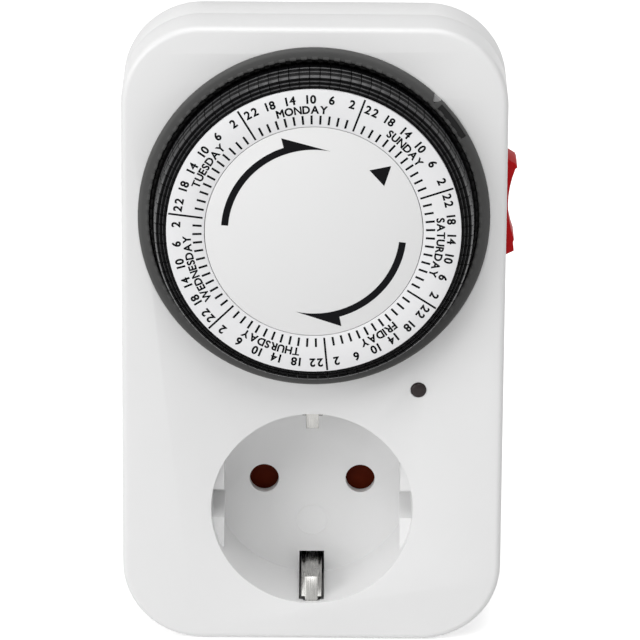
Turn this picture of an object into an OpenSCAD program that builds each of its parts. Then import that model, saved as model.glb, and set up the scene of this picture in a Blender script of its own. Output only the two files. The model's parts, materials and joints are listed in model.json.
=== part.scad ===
// Plug-in weekly timer switch with a segment dial, a shuttered socket and a side rocker.
// It is drawn lying on its plug: x to the right, y up the housing, z from the plug's end
// face to the user. stand() turns that into the part's frame, +Z up and the pins along +Y.

/* [Housing] */
// Width of the housing
body_w = 74; // [73:0.5:80]
// Depth of the housing, without the plug
body_d = 34; // [34:0.5:37]
// From the socket's axis down to the lower edge
below_socket = 27.3; // [26:0.1:30]
// From the socket's axis up to the dial's axis
dial_rise = 59.8; // [59:0.1:64]
// From the dial's axis up to the top edge
above_dial = 37.6; // [36.4:0.1:42]
// Radius of the housing's corners
corner_r = 15.5; // [12:0.5:16]
// Rounding of the front edge
edge_r = 1.2; // [0.8:0.1:2.5]
// Thickness of the walls
wall = 2; // [1.8:0.1:2.2]
// Depth of the front cover, down to the seam
cover_d = 10.1; // [9.5:0.1:12]
// Depth of the straight side walls
straight_d = 18.8; // [16:0.2:20]
// How far the rear shell tapers in
back_inset = 5; // [3:0.5:5.5]
// Diameter of the housing screws
screw_d = 3; // [2.5:0.1:3.2]

/* [Plug] */
// Distance between the pins
pin_pitch = 19; // [18.5:0.1:19.5]
// Diameter of the pins
pin_d = 4.8; // [4:0.1:5]
// Length of the pins
pin_len = 19; // [17:0.5:20]
// Diameter of the plug boss
boss_d = 37.6; // [37:0.1:38.4]
// Length of the plug boss
boss_len = 17.8; // [17.5:0.1:19]
// Half distance between the boss's side flats
boss_flat = 16.2; // [16:0.1:16.5]

/* [Socket] */
// Diameter of the recess
recess_d = 39.4; // [39:0.1:40]
// Depth of the recess
recess_depth = 17.5; // [17:0.1:18]
// Thickness of the recess's wall
cup_wall = 1.6; // [1.3:0.1:1.8]
// Diameter of the pin holes
hole_d = 5.8; // [5.3:0.1:6]
// Half distance between the side lands
land_x = 17.2; // [16.7:0.1:17.4]
// From the front face down to the lands
land_step = 3; // [2:0.5:6]
// Height of the key grooves in the lands
key_h = 5.7; // [4.6:0.1:6]
// Width of the earth slots
earth_slot = 4.9; // [4.7:0.1:5.4]
// From the axis to the earth slots' inner edge
slot_in = 15.4; // [14:0.1:15.4]
// Distance of the earth clips' crests from the axis
crest_y = 15.45; // [15:0.05:16]

/* [Dial] */
// Number of segments around the dial
segments = 96; // [72:8:96]
// Outer radius of the segments
segment_r = 30.7; // [30:0.1:30.8]
// Radius of the segments' shoulder, where their steps begin
shoulder_r = 30.3; // [29.5:0.1:30.4]
// Height of the segments' shoulder above the front face
shoulder_h = 7.6; // [6.5:0.1:8]
// Height of the segments' inner edge above the front face
segment_h = 8.9; // [8.6:0.1:9.7]
// How far a segment pushes in
travel = 2; // [1.5:0.1:2.2]
// Outer radius of the label ring
label_r = 28.1; // [27.8:0.1:28.3]
// Height of the label ring above the front face
label_h = 9.6; // [9.5:0.1:11.5]
// Radius of the fixed centre disc
disc_r = 20.75; // [18:0.25:22]
// Outer radius of the bezel
bezel_r = 33.8; // [33.4:0.1:34.5]
// Height of the bezel
bezel_h = 1.2; // [1:0.1:2]
// Angle of the index notch, clockwise from the top
notch_angle = 44; // [30:0.1:60]
// Diameter of the dial's axle
axle_d = 4; // [3.5:0.1:4.5]

/* [Drive] */
// Module of the dial's gear
dial_module = 0.6; // [0.55:0.01:0.62]
// Teeth of the dial's gear
dial_teeth = 60; // [56:2:60]
// Teeth of both pinions
pinion_teeth = 12; // [12:1:14]
// Module of the motor's gears
motor_module = 0.5; // [0.45:0.01:0.52]
// Teeth of the idler's large gear
idler_teeth = 40; // [36:2:40]
// Outer radius of the motor
motor_r = 17; // [15:0.5:17.5]
// Depth of the motor's can
motor_d = 13; // [11:0.5:13.5]

/* [Rocker] */
// Length of the rocker
rocker_len = 19.6; // [18:0.2:22]
// Width of the rocker
rocker_w = 8; // [6:0.5:8]
// How far the rocker's upper lobe stands out
rocker_lobe = 2.1; // [1.5:0.1:2.5]
// Angle between the rocker's two stops
rocker_throw = 7; // [5:0.5:8]

/* [Indicator] */
// Diameter of the lens
lens_d = 3; // [2.5:0.1:3.5]
// Lens, from the socket's axis to the right
lens_x = 20.5; // [20:0.1:21]
// From the dial's axis down to the lens
lens_drop = 35; // [34.5:0.1:37]

/* [Hidden] */
$fn = 96;

eps = 0.01;
fit = 0.05;        // running or seating clearance on a radius
gap = 0.2;         // open gap between pieces that pass each other
strip_t = 0.8;     // thickness of the brass and earth strips

// Levels along z
front_z = boss_len + body_d;
seam_z = front_z - cover_d;
taper_z = front_z - straight_d;
inner_front = front_z - wall;
inner_back = boss_len + wall;
floor_z = front_z - recess_depth;
floor_t = 2;
floor_back = floor_z - floor_t;

// Outline
body_low = -below_socket;
body_top = dial_rise + above_dial;
lens_y = dial_rise - lens_drop;
pin_x = pin_pitch/2;
cup_r = recess_d/2 + cup_wall;

// Dial stack, as heights above the front face
skirt_h = 1;
flange_top = skirt_h - travel - 0.4;
flange_t = 2;
flange_low = flange_top - flange_t;
gear_t = 2;
gear_low = flange_low - gear_t;
tail_low = flange_low - 1;
pushed_low = tail_low - travel;
label_t = 0.8;
label_low = label_h - label_t;
segment_in_r = label_r + 0.15;
drum_r = label_r - 0.2;
drum_t = 1.4;
stem_in = segment_in_r + 0.25;
stem_out = segment_r - 0.3;
stem_w = 1;
rim_in = segment_r + 0.35;
rim_out = rim_in + 0.4;
bezel_in = rim_out + gap;
bezel_skirt = bezel_in + 0.55;
dial_hole_r = bezel_skirt + 0.1;
bezel_round = 0.8;
comb_low = 0.1;
comb_h = 0.5;
label_in = disc_r + 0.12;
pitch_a = 360/segments;
group = segments/8;
segment_a = pitch_a*0.93;

// Gear train behind the dial
big_top = front_z + pushed_low - 0.4;
big_t = 1.4;
big_low = big_top - big_t;
plate_top = big_low - 1.1;
plate_t = 1.5;
plate_low = plate_top - plate_t;
idler_angle = 200;
idler_dist = dial_module*(dial_teeth + pinion_teeth)/2;
idler_at = [idler_dist*cos(idler_angle), dial_rise + idler_dist*sin(idler_angle)];
motor_angle = 30;
motor_dist = motor_module*(idler_teeth + pinion_teeth)/2;
motor_at = idler_at + motor_dist*[cos(motor_angle), sin(motor_angle)];
cover_t = 1;
can_top = plate_low - cover_t;
can_low = can_top - motor_d;
shaft_r = 0.75;
idler_pin_r = 1;
idler_top = front_z + gear_low + gear_t + 0.3;
hub_low = plate_top + 0.9;
hub_top = front_z + 4.2;
hub_r = 4;

// Plate pillars and screws
plate_x = [-26.5, 14];
plate_y = [dial_rise - 22.5, dial_rise + 15.1];
pillar_r = 2.6;
plate_screw_r = 1;

// Housing screws
screw_x = body_w/2 - 10.9;
screw_low_y = body_low + 13.8;
screw_high_y = body_top - 12.7;
screw_r = screw_d/2;
post_r = screw_r + 1.3;
post_gap_z = boss_len + 14.2;
screw_bite = 11;

// Contacts
sleeve_in = pin_d/2 + 0.15;
sleeve_out = sleeve_in + 0.65;
sleeve_low = boss_len - 2.3;
sleeve_high = floor_back - 2.3;
carrier_t = 2.5;
carrier_top = inner_back + carrier_t;
collar_t = 0.8;
load_z = carrier_top + collar_t;
live_z = load_z + strip_t + 0.7;
face_t = 3.5;
pin_head_r = pin_d/2 + 1.6;
boss_in_r = boss_d/2 - 2.8;
boss_in_x = boss_flat - 2;
tail_z = face_t + 4.5;
riser_x = pin_x + sleeve_out + gap + strip_t/2;
live_x = -(riser_x + 1.9);
bar_w = 3.5;
earth_w = 4;
earth_y = boss_d/2 - 1.1;
link_z = live_z + 0.4;

// Switch beside the dial's lower right
nose_r = (stem_in + stem_out)/2;
nose_a = (floor(39.5/pitch_a) + 0.5)*pitch_a;
nose_at = [nose_r*cos(nose_a), dial_rise - nose_r*sin(nose_a)];
switch_x = nose_at[0] - 2.8;
lever_y = nose_at[1] - 8.8;
lever_z = front_z + pushed_low - 1.9;
arm_y = lever_y - 3;
arm_t = 0.6;
fixed_y = arm_y - 2.75;
contact_z = lever_z - 10;
post_x = 4.2;
post_t = 1.8;
barrel_r = 1.7;
lever_pin_r = 1;

// Rocker in the right wall
rocker_y = dial_rise + 0.4;
rocker_z = seam_z;
wall_x = body_w/2;
rocker_pivot_x = wall_x - 3.2;
rocker_slot = rocker_len/2 + 0.25 + 2.9*sin(rocker_throw);
frame_t = 0.9;
rocker_pin_r = 1;

// Shutter
shutter_t = 1.6;
shutter_top = floor_back - gap;
shutter_post_r = 1.5;
shutter_low = shutter_top - shutter_t;

// Wire
wire_r = 0.5;

module stand() rotate([90, 0, 0]) children();
module layer(low, high) translate([0, 0, low]) linear_extrude(high - low) children();
module rod(at, r, low, high) translate([at[0], at[1], low]) cylinder(h = high - low, r = r);
module ring(at, r_out, r_in, low, high) difference() {
    rod(at, r_out, low, high);
    rod(at, r_in, low - 1, high + 1);
}
module block(low, high) translate(low) cube(high - low);
module at_dial() translate([0, dial_rise, front_z]) children();

// Flat outline with four round corners
module panel(half_w, low, high, r) {
    translate([-half_w + r, low]) square([2*(half_w - r), high - low]);
    translate([-half_w, low + r]) square([2*half_w, high - low - 2*r]);
    for (x = [-1, 1], y = [low + r, high - r]) translate([x*(half_w - r), y]) circle(r);
}
module housing_outline(inset) panel(body_w/2 - inset, body_low + inset, body_top - inset, corner_r - inset);

// A line of flat strip seen on edge, mitred at its bends
function unit(v) = v/norm(v);
function side_of(v) = [-v[1], v[0]];
function mitre(p, i) = let (
        before = max(i, 1), after = min(i + 1, len(p) - 1),
        a = side_of(unit(p[before] - p[before - 1])), b = side_of(unit(p[after] - p[after - 1])))
    (a + b)/((a + b)*a);
module strip(points, t) {
    last = len(points) - 1;
    polygon(concat([for (i = [0:last]) points[i] + t/2*mitre(points, i)],
        [for (i = [last:-1:0]) points[i] - t/2*mitre(points, i)]));
}
// The same line, drawn in y and z and given a width along x
module side_strip(x, width, points, t)
    translate([x - width/2, 0, 0]) rotate([90, 0, 90]) linear_extrude(width) strip(points, t);

// Round wire through a list of points, with a slight bead at each bend
module wire(points, r) {
    for (i = [1:len(points) - 1]) {
        a = points[i - 1];
        d = points[i] - a;
        translate(a) rotate([0, acos(d[2]/norm(d)), atan2(d[1], d[0])])
            cylinder(h = norm(d), r = r, $fn = 24);
    }
    if (len(points) > 2) for (i = [1:len(points) - 2]) translate(points[i]) sphere(1.2*r, $fn = 24);
}

// Involute gear outline with one tooth centred on the x axis
pressure = 20;
function inv(r, base) = r <= base ? 0 : tan(acos(base/r))*180/PI - acos(base/r);
function tooth_half(r, teeth, pitch_r, play) = 90/teeth - play/pitch_r*180/PI
    + inv(pitch_r, pitch_r*cos(pressure)) - inv(r, pitch_r*cos(pressure));
function gear_outline(m, teeth, play) = let (
        pitch_r = m*teeth/2, root = pitch_r - 1.15*m, tip = pitch_r + 0.8*m,
        radii = [root, pitch_r - 0.4*m, pitch_r, pitch_r + 0.4*m, tip])
    [for (k = [0:teeth - 1], side = [-1, 1], i = [0:4]) let (
        r = radii[side < 0 ? i : 4 - i],
        a = 360*k/teeth + side*tooth_half(r, teeth, pitch_r, play)) r*[cos(a), sin(a)]];
module gear(m, teeth, turn) rotate(turn) polygon(gear_outline(m, teeth, 0.07));

module corner_puck(r, low, high, e) rotate_extrude($fn = 64) polygon(concat(
    [[0, low], [r, low]],
    [for (a = [0:18:90]) [r - e + e*cos(a), high - e + e*sin(a)]],
    [[0, high]]));
module corners(half_w, low, high, r)
    for (x = [-1, 1], y = [low + r, high - r]) translate([x*(half_w - r), y, 0]) children();
module rear_hull(inset) hull() {
    corners(body_w/2 - inset, body_low + inset, body_top - inset, corner_r - inset)
        translate([0, 0, taper_z - eps]) cylinder(h = eps, r = corner_r - inset, $fn = 64);
    corners(body_w/2 - back_inset - inset, body_low + back_inset + inset,
            body_top - back_inset - inset, corner_r - inset)
        translate([0, 0, inset > 0 ? inner_back : boss_len])
            cylinder(h = eps, r = corner_r - inset, $fn = 64);
}

// Two shells
module recess_outline() circle(recess_d/2);
module land_outline() intersection() {
    circle(recess_d/2 + 0.5);
    for (side = [-1, 1]) difference() {
        translate([side > 0 ? land_x : -land_x - 9, -20]) square([9, 40]);
        translate([-40, -key_h/2]) square([80, key_h]);
    }
}
module screw_points() for (x = [-screw_x, screw_x], y = [screw_low_y, screw_high_y])
    translate([x, y, 0]) children();
module rocker_window(clear) {
    half = rocker_w/2 + clear;
    block([wall_x - wall - 1, rocker_y - rocker_slot, rocker_z - half],
          [wall_x + 1, rocker_y + rocker_slot, rocker_z + half]);
}
module notch_wedge(clear) {
    outer = 1.15 + clear;
    rotate(90 - notch_angle) polygon([[bezel_r + 1, -outer*1.25], [bezel_in + 0.9, -0.25 - clear],
        [bezel_in + 0.9, 0.25 + clear], [bezel_r + 1, outer*1.25]]);
}
module index_nib() at_dial() intersection() {
    translate([0, 0, -wall]) linear_extrude(wall + bezel_h - 0.4) notch_wedge(-0.12);
    ring([0, 0], bezel_r - 0.1, dial_hole_r + 0.1, -wall, bezel_h);
}
module front_housing() color("whitesmoke") stand() difference() {
    union() {
        difference() {
            hull() corners(body_w/2, body_low, body_top, corner_r)
                corner_puck(corner_r, seam_z, front_z, edge_r);
            layer(seam_z - 1, inner_front) housing_outline(wall);
            layer(seam_z - 1, seam_z + 1.6) housing_outline(wall/2);
        }
        rod([0, 0], cup_r, floor_back, inner_front + eps);
        rod([0, 0], shutter_post_r, floor_back - shutter_t - 1.4, floor_back + eps);
        screw_points() rod([0, 0], post_r, post_gap_z, inner_front + eps);
        rod([lens_x, lens_y], lens_d/2 + 1.5, inner_front - 7, inner_front + eps);
        index_nib();
    }
    difference() {
        layer(floor_z, front_z + 1) recess_outline();
        layer(floor_z - 1, front_z - land_step) land_outline();
    }
    for (x = [-pin_x, pin_x]) rod([x, 0], hole_d/2, floor_back - 1, floor_z + 1);
    for (side = [0, 180]) rotate(side) {
        block([-earth_slot/2, slot_in, floor_back - 1], [earth_slot/2, cup_r + 0.1, floor_z + 1]);
        block([-earth_slot/2, recess_d/2 - 1, floor_back - 1], [earth_slot/2, cup_r + 0.1, front_z - 1.9]);
        block([-earth_slot/2 + 0.8, recess_d/2 - 1, floor_back],
              [earth_slot/2 - 0.8, cup_r + 0.1, front_z - 1.3]);
    }
    rod([0, dial_rise], dial_hole_r, inner_front - 1, front_z + 1);
    rod([lens_x, lens_y], lens_d/2 + fit, inner_front - 1, front_z + 1);
    rod([lens_x, lens_y], lens_d/2 + 0.6, inner_front - 8, front_z - 1.2);
    rocker_window(gap);
    screw_points() rod([0, 0], screw_r + fit, post_gap_z - 1, post_gap_z + screw_bite + 1);
}

module boss_outline() difference() {
    union() {
        intersection() {
            circle(boss_d/2);
            square([2*boss_flat, boss_d], center = true);
        }
        intersection() {
            circle(boss_d/2);
            square([boss_d, key_h - 1], center = true);
        }
    }
    for (side = [-1, 1]) translate([0, side*(earth_y + 4.4)]) square([earth_w + 1, 10], center = true);
}
module boss_inside() {
    intersection() {
        circle(boss_in_r);
        square([2*boss_in_x, boss_d], center = true);
    }
    for (x = [-pin_x, pin_x]) translate([x, 0]) circle(pin_head_r + fit);
    square([2*riser_x + strip_t + gap, bar_w + gap], center = true);
}
module pillars() for (x = plate_x, y = plate_y) translate([x, y, 0]) children();
module rear_housing() color("gainsboro") stand() difference() {
    union() {
        difference() {
            union() {
                layer(taper_z - eps, seam_z) housing_outline(0);
                rear_hull(0);
                layer(seam_z - 1, seam_z + 1.4) housing_outline(wall/2 + fit);
            }
            layer(taper_z - eps, seam_z + 2) housing_outline(wall);
            rear_hull(wall);
        }
        layer(0, boss_len + eps) boss_outline();
        pillars() rod([0, 0], pillar_r, inner_back - eps, plate_low);
        screw_points() rod([0, 0], post_r + 0.4, inner_back - eps, post_gap_z - fit);
    }
    layer(face_t, inner_back + 1) boss_inside();
    for (x = [-pin_x, pin_x]) rod([x, 0], pin_d/2 + 0.25, -1, face_t + 1);
    for (side = [-1, 1]) translate([0, side*earth_y, 0])
        block([-earth_w/2 - 0.5, -0.7, boss_len - 1], [earth_w/2 + 0.5, 0.7, inner_back + 1]);
    pillars() rod([0, 0], plate_screw_r + fit, plate_low - 8, plate_low + 1);
    screw_points() rod([0, 0], screw_r + 0.2, boss_len - 1, post_gap_z + 1);
    screw_points() rod([0, 0], post_r - 0.4, boss_len - 1, post_gap_z - 2.2);
    rocker_window(gap);
}
module housing_screws() color("silver") stand() screw_points() {
    difference() {
        rod([0, 0], post_r - 0.6, post_gap_z - 4.2, post_gap_z - 2.2);
        for (turn = [0, 90]) rotate(turn) block([-1.4, -0.35, post_gap_z - 5], [1.4, 0.35, post_gap_z - 3.1]);
    }
    rod([0, 0], screw_r, post_gap_z - 2.2, post_gap_z + screw_bite);
}

// Dial
module bezel_profile() polygon(concat(
    [[bezel_in, -0.9], [bezel_skirt, -0.9], [bezel_skirt, 0], [bezel_r, 0]],
    [for (a = [0:15:90]) [bezel_r - bezel_round*(1 - cos(a)), bezel_h - bezel_round*(1 - sin(a))]],
    [[bezel_in + 0.2, bezel_h], [bezel_in, bezel_h - 0.2]]));
module dial_bezel() color("dimgray") stand() at_dial() difference() {
    rotate_extrude($fn = 192) bezel_profile();
    linear_extrude(bezel_h + 1) notch_wedge(0);
    rotate(90 - notch_angle - 16) rotate_extrude(angle = 13.5, $fn = 192)
        translate([bezel_in + 0.5, bezel_h - 0.45]) square([bezel_r - bezel_in - 0.9, 1]);
}
module stem_slot(grow) translate([(stem_in + stem_out)/2, 0])
    square([stem_out - stem_in + 2*grow, stem_w + 2*grow], center = true);
module dial_wheel() color("black") stand() at_dial() {
    translate([0, 0, flange_low]) linear_extrude(flange_t) difference() {
        circle(rim_out);
        circle(hub_r - 1);
        for (k = [0:segments - 1]) rotate(k*pitch_a) stem_slot(0.12);
    }
    difference() {
        union() {
            translate([0, 0, gear_low]) linear_extrude(gear_t) gear(dial_module, dial_teeth, idler_angle);
            translate([0, 0, hub_low - front_z]) cylinder(h = hub_top - hub_low, r = hub_r);
        }
        translate([0, 0, gear_low - 1]) cylinder(h = gear_t + 1, r = dial_module*dial_teeth/2 - 2.4);
        translate([0, 0, hub_low - front_z - 1]) cylinder(h = hub_top - hub_low + 2, r = axle_d/2 + fit);
    }
    difference() {
        translate([0, 0, hub_low - front_z]) cylinder(h = hub_top - hub_low, r = hub_r);
        translate([0, 0, hub_low - front_z - 1]) cylinder(h = hub_top - hub_low + 2, r = axle_d/2 + fit);
    }
    rotate_extrude() polygon([[drum_r - 1.4, flange_top], [drum_r, flange_top], [drum_r, label_low],
        [label_in, label_low], [label_in, label_low - drum_t], [drum_r - 1.4, label_low - drum_t]]);
    rotate_extrude() translate([rim_in, flange_top]) square([rim_out - rim_in, comb_low - flange_top]);
    for (k = [0:segments - 1]) rotate((k + 0.5)*pitch_a)
        block([rim_in, -0.5, comb_low - eps], [rim_out - 0.03, 0.5, comb_low + comb_h]);
}
module label_ring() color("white") stand() at_dial() ring([0, 0], label_r, label_in, label_low, label_h);
module centre_disc() color("white") stand() at_dial() difference() {
    union() {
        rod([0, 0], disc_r, label_low - drum_t + 0.2, label_h);
        rod([0, 0], hub_r, hub_top - front_z + 0.9, label_low);
    }
    rod([0, 0], axle_d/2 + 0.02, 0, label_low);
}
module dial_axle() color("silver") stand() {
    rod([0, dial_rise], axle_d/2, plate_low, front_z + label_low - 0.2);
    rod([0, dial_rise], axle_d/2 + 1, plate_top, plate_top + 0.3);
}
module dial_spring() color("silver") stand()
    ring([0, dial_rise], hub_r, axle_d/2 + 0.1, plate_top + 0.3, hub_low);
module dial_clip() color("silver") stand()
    ring([0, dial_rise], hub_r - 0.6, axle_d/2 + 0.02, hub_top + fit, hub_top + 0.8);

// Push-in segments: a stepped head and a stem through the wheel's flange
module segment() {
    tier_r = (segment_r - shoulder_r)/3;
    tier_h = (shoulder_h - skirt_h)/3;
    step_r = (shoulder_r - segment_in_r)/3;
    step_h = (segment_h - shoulder_h)/3;
    rotate(-segment_a/2) rotate_extrude(angle = segment_a, $fn = 192) polygon(concat(
        [[segment_in_r, skirt_h]],
        [for (k = [0:2], edge = [0, 1]) [segment_r - (k + edge*0.4)*tier_r, skirt_h + (k + edge)*tier_h]],
        [for (k = [0:2], edge = [0, 1]) [shoulder_r - (k + edge*0.3)*step_r, shoulder_h + (k + edge)*step_h]],
        [[segment_in_r, segment_h]]));
    translate([0, 0, tail_low]) linear_extrude(skirt_h - tail_low + eps) stem_slot(0);
}
module segment_group(n) color([0.13, 0.13, 0.14]) stand() at_dial()
    for (k = [0:group - 1]) rotate(90 - ((n - 1)*group + k)*pitch_a) segment();
module segments_1() segment_group(1);
module segments_2() segment_group(2);
module segments_3() segment_group(3);
module segments_4() segment_group(4);
module segments_5() segment_group(5);
module segments_6() segment_group(6);
module segments_7() segment_group(7);
module segments_8() segment_group(8);

// Drive
module gear_plate() color("lightsteelblue") stand() difference() {
    layer(plate_low, plate_top) plate_outline();
    rod([0, dial_rise], axle_d/2 + 0.02, plate_low - 1, plate_top + 1);
    rod(idler_at, idler_pin_r + 0.02, plate_low - 1, plate_top + 1);
    rod(motor_at, 3, plate_low - 1, plate_top + 1);
    pillars() rod([0, 0], plate_screw_r + 0.1, plate_low - 1, plate_top + 1);
}
module plate_outline() {
    reach = pillar_r + 0.4;
    low = [plate_x[0] - reach, plate_y[0] - reach];
    high = [plate_x[1] + reach, plate_y[1] + reach];
    translate(low + [reach, 0]) square([high[0] - low[0] - 2*reach, high[1] - low[1]]);
    translate(low + [0, reach]) square([high[0] - low[0], high[1] - low[1] - 2*reach]);
    for (x = plate_x, y = plate_y) translate([x, y]) circle(reach);
}
module plate_screws() color("silver") stand() pillars() {
    rod([0, 0], plate_screw_r, plate_low - 6, plate_top);
    rod([0, 0], plate_screw_r + 1.2, plate_top, plate_top + 1);
}
module motor_can() color("silver") stand() difference() {
    rod(motor_at, motor_r, can_low, can_top);
    rod(motor_at, motor_r - 0.8, can_low + 0.8, can_top + 1);
    rod(motor_at, shaft_r + fit, can_low - 1, can_low + 2);
}
module motor_cover() color("silver") stand() difference() {
    rod(motor_at, motor_r, can_top, plate_low);
    rod(motor_at, shaft_r + fit, can_top - 1, plate_low + 1);
}
module motor_coil() color("peru") stand()
    ring(motor_at, motor_r - 0.9, motor_r - 7, can_low + 0.8, can_top - 0.6);
module motor_rotor() color("darkslategray") stand() {
    rod(motor_at, shaft_r, can_low, big_top);
    rod(motor_at, motor_r - 7.6, can_low + 1.4, can_top - 1.4);
    translate([motor_at[0], motor_at[1], big_low + 0.1]) linear_extrude(big_t)
        gear(motor_module, pinion_teeth, motor_angle + 180 + 180/pinion_teeth);
}
module idler_gear() color("ivory") stand() translate([idler_at[0], idler_at[1], 0]) difference() {
    union() {
        layer(big_low, big_top) gear(motor_module, idler_teeth, motor_angle);
        layer(big_top - eps, front_z + gear_low + gear_t - 0.1)
            gear(dial_module, pinion_teeth, idler_angle + 180 + 180/pinion_teeth);
    }
    rod([0, 0], idler_pin_r + fit, big_low - 1, front_z);
}
module idler_axle() color("silver") stand() {
    rod(idler_at, idler_pin_r, plate_low, idler_top - 0.3);
    rod(idler_at, idler_pin_r + 0.7, plate_top, big_low - fit);
}

// Switch
module switch_block(low, high)
    block([switch_x + low[0], low[1], low[2]], [switch_x + high[0], high[1], high[2]]);
module lever_rod(half, r)
    translate([switch_x - half, lever_y, lever_z]) rotate([0, 90, 0]) cylinder(h = 2*half, r = r);
module switch_base() color([0.2, 0.2, 0.2]) stand() {
    switch_block([-post_x - post_t, fixed_y - 4, inner_back], [post_x + post_t, lever_y + barrel_r, load_z]);
    for (side = [-1, 1]) difference() {
        switch_block([side > 0 ? post_x : -post_x - post_t, lever_y - barrel_r, load_z - eps],
            [side > 0 ? post_x + post_t : -post_x, lever_y + barrel_r, lever_z + barrel_r]);
        lever_rod(10, lever_pin_r + 0.02);
    }
}
module switch_insulator() color("tan") stand()
    switch_block([-3, fixed_y - 4, load_z + strip_t], [3, arm_y - 0.5, live_z]);
module lever_pin() color("silver") stand()
    lever_rod(post_x + post_t, lever_pin_r);
module switch_lever() color("ivory") stand() difference() {
    union() {
        lever_rod(post_x - gap, barrel_r);
        switch_block([-2, arm_y + arm_t/2 + 0.25, lever_z - 7.2], [2, arm_y + 2.2, lever_z]);
        switch_block([-1.5, lever_y, lever_z - 0.9], [3.4, nose_at[1] + 0.6, lever_z + 1.3]);
        translate([0, dial_rise, 0]) rotate(-nose_a)
            block([stem_in + gap, -0.35, lever_z - 0.5], [stem_out - gap, 0.35, front_z + tail_low - 2*gap]);
    }
    lever_rod(10, lever_pin_r + fit);
}
module rivet(low, high)
    translate([switch_x, low, contact_z]) rotate([-90, 0, 0]) cylinder(h = high - low, r = 1.5);
module contact_arm() color("goldenrod") stand() {
    switch_block([-2, arm_y - arm_t/2, live_z - 0.4], [2, arm_y + arm_t/2, lever_z - 5.6]);
    rivet(arm_y - arm_t/2 - 0.5, arm_y);
}
module flat_bar(points, low) layer(low, low + strip_t) strip(points, bar_w);
module live_bar() color("goldenrod") stand() {
    difference() {
        side_riser(-1, live_z + strip_t, live_x);
        rod([-pin_x, 0], pin_d/2 - 0.8, 0, load_z);
    }
    flat_bar([[live_x, -bar_w/2], [live_x, lens_y - 0.8], [switch_x, lens_y - 0.8],
        [switch_x, fixed_y + strip_t/2]], live_z);
    switch_block([-bar_w/2, fixed_y - strip_t/2, live_z], [bar_w/2, fixed_y + strip_t/2, contact_z + 2]);
    rivet(fixed_y, fixed_y + strip_t/2 + 0.5);
}
// Strip from a pin's tail round the side of its sleeve
module side_riser(side, top, end_x) translate([0, bar_w/2, 0]) rotate([90, 0, 0]) linear_extrude(bar_w)
    strip([[side*(pin_x - 3), tail_z], [side*riser_x, tail_z], [side*riser_x, top - strip_t/2],
        [end_x, top - strip_t/2]], strip_t);
module sleeve_eye(side) rod([side*pin_x, 0], sleeve_out + 1.3, load_z, load_z + strip_t);
module sleeve_hole(side) rod([side*pin_x, 0], sleeve_out + 0.02, load_z - 1, live_z + 5);
// Way for the strip that climbs beside a sleeve
module riser_slot(side, low, high)
    rotate(side > 0 ? 0 : 180)
        block([riser_x - strip_t/2 - 0.1, -bar_w/2 - 0.1, low], [boss_in_r, bar_w/2 + 0.1, high]);
module load_bar() color("goldenrod") stand() {
    difference() {
        union() {
            flat_bar([[-pin_x, 0], [-pin_x, earth_y - 4], [switch_x, earth_y - 4],
                [switch_x, arm_y + 1.2]], load_z);
            sleeve_eye(-1);
        }
        sleeve_hole(-1);
        block([-boss_in_r, -bar_w/2 - 0.1, load_z - 1], [-pin_x, bar_w/2 + 0.1, live_z]);
    }
    switch_block([-bar_w/2, arm_y + arm_t/2 + 0.15, load_z], [bar_w/2, arm_y + arm_t/2 + 0.95, load_z + 4]);
}
module neutral_bar() color("goldenrod") stand() difference() {
    union() {
        side_riser(1, load_z + strip_t, pin_x + 1);
        sleeve_eye(1);
    }
    sleeve_hole(1);
    rod([pin_x, 0], pin_d/2 - 0.8, 0, boss_len - 4);
}
module sleeve(side) difference() {
    union() {
        rod([side*pin_x, 0], sleeve_out, sleeve_low, sleeve_high);
        rod([side*pin_x, 0], sleeve_out + 0.8, carrier_top, load_z);
    }
    rod([side*pin_x, 0], sleeve_in, sleeve_low - 1, sleeve_high + 1);
    riser_slot(side, carrier_top - 1, load_z + 1);
    block([side*pin_x - 0.4, -5, load_z + strip_t + 0.5], [side*pin_x + 0.4, 5, sleeve_high + 1]);
}
module live_sleeve() color("goldenrod") stand() sleeve(-1);
module neutral_sleeve() color("goldenrod") stand() sleeve(1);
module contact_carrier() color("ivory") stand() difference() {
    rod([0, 0], boss_in_r + 2.9, inner_back, carrier_top);
    for (x = [-pin_x, pin_x]) rod([x, 0], sleeve_out + 0.02, inner_back - 1, carrier_top + 1);
    for (side = [-1, 1]) {
        block([-earth_w/2 - 0.2, side*earth_y - 0.7, inner_back - 1],
              [earth_w/2 + 0.2, side*earth_y + 0.7, carrier_top + 1]);
        riser_slot(side, inner_back - 1, carrier_top + 1);
    }
}
module plug_pin(side) translate([side*pin_x, 0, 0]) {
    rod([0, 0], pin_d/2, 1.2 - pin_len, 0);
    translate([0, 0, -pin_len]) cylinder(h = 1.2, r1 = pin_d/2 - 1, r2 = pin_d/2);
    rod([0, 0], pin_d/2 + 0.2, 0, face_t);
    rod([0, 0], pin_head_r, face_t, face_t + 1.5);
    rod([0, 0], pin_d/2, face_t + 1.5, tail_z - strip_t/2);
    rod([0, 0], pin_d/2 - 0.85, tail_z - strip_t/2, tail_z + strip_t/2 + 0.6);
}
module plug_pin_live() color("silver") stand() plug_pin(-1);
module plug_pin_neutral() color("silver") stand() plug_pin(1);
module earth_strap() color("silver") stand() {
    for (side = [0, 180]) rotate(side) {
        side_strip(0, earth_w, [[earth_y, 1.2], [earth_y, link_z + 4], [crest_y + 1.3, front_z - 8.5],
            [recess_d/2 + 0.2, front_z - 3.6]], strip_t);
        side_strip(0, 2.5, [[earth_y - 0.6, link_z + 4], [crest_y + strip_t/2, front_z - 3.8],
            [recess_d/2 + 0.7, front_z - 1.9]], strip_t);
    }
    block([-earth_w/2, -earth_y, link_z], [earth_w/2, earth_y, link_z + strip_t]);
}

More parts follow.
